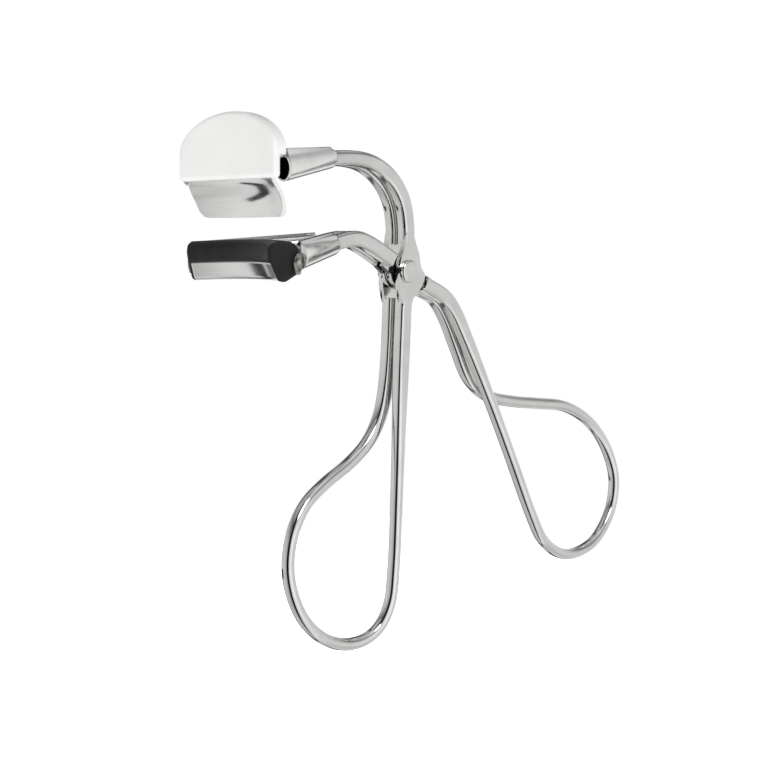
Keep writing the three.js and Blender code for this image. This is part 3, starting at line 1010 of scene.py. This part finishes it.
# Brightness of the room round the tool by compass angle, in turns from the
# -X direction, anticlockwise seen from above; the camera stands at 1/8.
AROUND = [
    (0.000, 0.60),
    (0.035, 0.45),
    (0.060, 0.01),
    (0.145, 0.01),
    (0.175, 0.90),
    (0.270, 1.15),
    (0.340, 0.80),
    (0.420, 0.72),
    (0.545, 0.95),
    (0.590, 0.90),
    (0.602, 0.08),
    (0.632, 0.08),
    (0.645, 0.85),
    (0.675, 0.75),
    (0.690, 0.15),
    (0.718, 0.15),
    (0.735, 0.60),
    (0.800, 0.72),
    (0.900, 0.74),
    (1.000, 0.60),
]

# The same by the sine of the height above the horizon, from -1 to 1.
UPWARD = [
    (-1.0, 0.80),
    (-0.84, 0.90),
    (-0.72, 0.75),
    (-0.55, 0.95),
    (-0.20, 1.0),
    (0.05, 1.0),
    (0.30, 0.85),
    (0.50, 0.45),
    (0.62, 0.22),
    (0.72, 0.60),
    (1.0, 0.75),
]


def grey_ramp(nodes, stops):
    ramp = nodes.new("ShaderNodeValToRGB")
    elements = ramp.color_ramp.elements
    while len(elements) < len(stops):
        elements.new(0.5)
    for element, (position, value) in zip(elements, stops):
        element.position = position
        element.color = (value, value, value, 1)
    return ramp


def studio_world():
    """A white room to the eye; in reflections, white walls with grey and black flags."""
    world = bpy.data.worlds.new("studio")
    bpy.context.scene.world = world
    world.use_nodes = True
    nodes, links = world.node_tree.nodes, world.node_tree.links
    flags = nodes["Background"]
    plain = nodes.new("ShaderNodeBackground")
    plain.inputs["Color"].default_value = (1, 1, 1, 1)
    place = nodes.new("ShaderNodeTexCoord")
    split = nodes.new("ShaderNodeSeparateXYZ")
    turn = nodes.new("ShaderNodeMath")
    turn.operation = "ARCTAN2"
    share = nodes.new("ShaderNodeMath")
    share.operation = "MULTIPLY_ADD"
    share.inputs[1].default_value = 1 / (2 * math.pi)
    share.inputs[2].default_value = 0.5
    height = nodes.new("ShaderNodeMath")
    height.operation = "MULTIPLY_ADD"
    height.inputs[1].default_value = 0.5
    height.inputs[2].default_value = 0.5
    around = grey_ramp(nodes, AROUND)
    upward = grey_ramp(nodes, [((z + 1) / 2, value) for z, value in UPWARD])
    product = nodes.new("ShaderNodeVectorMath")
    product.operation = "MULTIPLY"
    path = nodes.new("ShaderNodeLightPath")
    mix = nodes.new("ShaderNodeMixShader")
    links.new(place.outputs["Generated"], split.inputs["Vector"])
    links.new(split.outputs["Y"], turn.inputs[0])
    links.new(split.outputs["X"], turn.inputs[1])
    links.new(split.outputs["Z"], height.inputs[0])
    links.new(turn.outputs["Value"], share.inputs[0])
    links.new(share.outputs["Value"], around.inputs["Fac"])
    links.new(height.outputs["Value"], upward.inputs["Fac"])
    links.new(around.outputs["Color"], product.inputs[0])
    links.new(upward.outputs["Color"], product.inputs[1])
    links.new(product.outputs["Vector"], flags.inputs["Color"])
    links.new(path.outputs["Is Camera Ray"], mix.inputs["Fac"])
    links.new(flags.outputs["Background"], mix.inputs[1])
    links.new(plain.outputs["Background"], mix.inputs[2])
    links.new(mix.outputs["Shader"], nodes["World Output"].inputs["Surface"])


def floor():
    """A plain white floor under the loops, bright enough to hold no shadow."""
    half = 260
    low = CAD_BOX[0][2] / MM - 40
    corners = [(-half, -half, low), (half, -half, low), (half, half, low), (-half, half, low)]
    sheet = new_object("floor", corners, [(0, 1, 2, 3)])
    look = Look("floor_white", (0.9, 0.9, 0.9), 0.0, 0.6)
    look.shader.inputs["Emission Color"].default_value = (1, 1, 1, 1)
    look.shader.inputs["Emission Strength"].default_value = 1.0
    sheet.data.materials.append(look.material)
    sheet.visible_glossy = False


def flag(name, centre, width, height):
    """A black card, seen only in reflections, that faces the tool."""
    corners = [(x * width / 2, y * height / 2, 0) for x, y in ((-1, -1), (1, -1), (1, 1), (-1, 1))]
    card = new_object(name, corners, [(0, 1, 2, 3)])
    aim = (-Vector(centre)).to_track_quat("Z", "Y").to_matrix().to_4x4()
    card.data.transform(Matrix.Translation(Vector(centre) * MM) @ aim)
    look = Look(name, (0.01, 0.01, 0.01), 0.0, 0.8)
    card.data.materials.append(look.material)
    card.visible_camera = False
    card.visible_diffuse = False
    card.visible_shadow = False


def studio():
    bpy.context.scene.view_settings.view_transform = "Standard"
    studio_world()
    floor()
    flag("low_flag_near", (140, 440, -200), 400, 85)
    flag("low_flag_far", (-160, 430, -185), 340, 62)
    area_light("key", (-0.25, -0.6, 0.6), 0.4, 2.2)
    front = area_light("front", (-0.8, -0.25, 0.2), 0.6, 2.1)
    front.visible_glossy = False


camera()
build_curler()
studio()
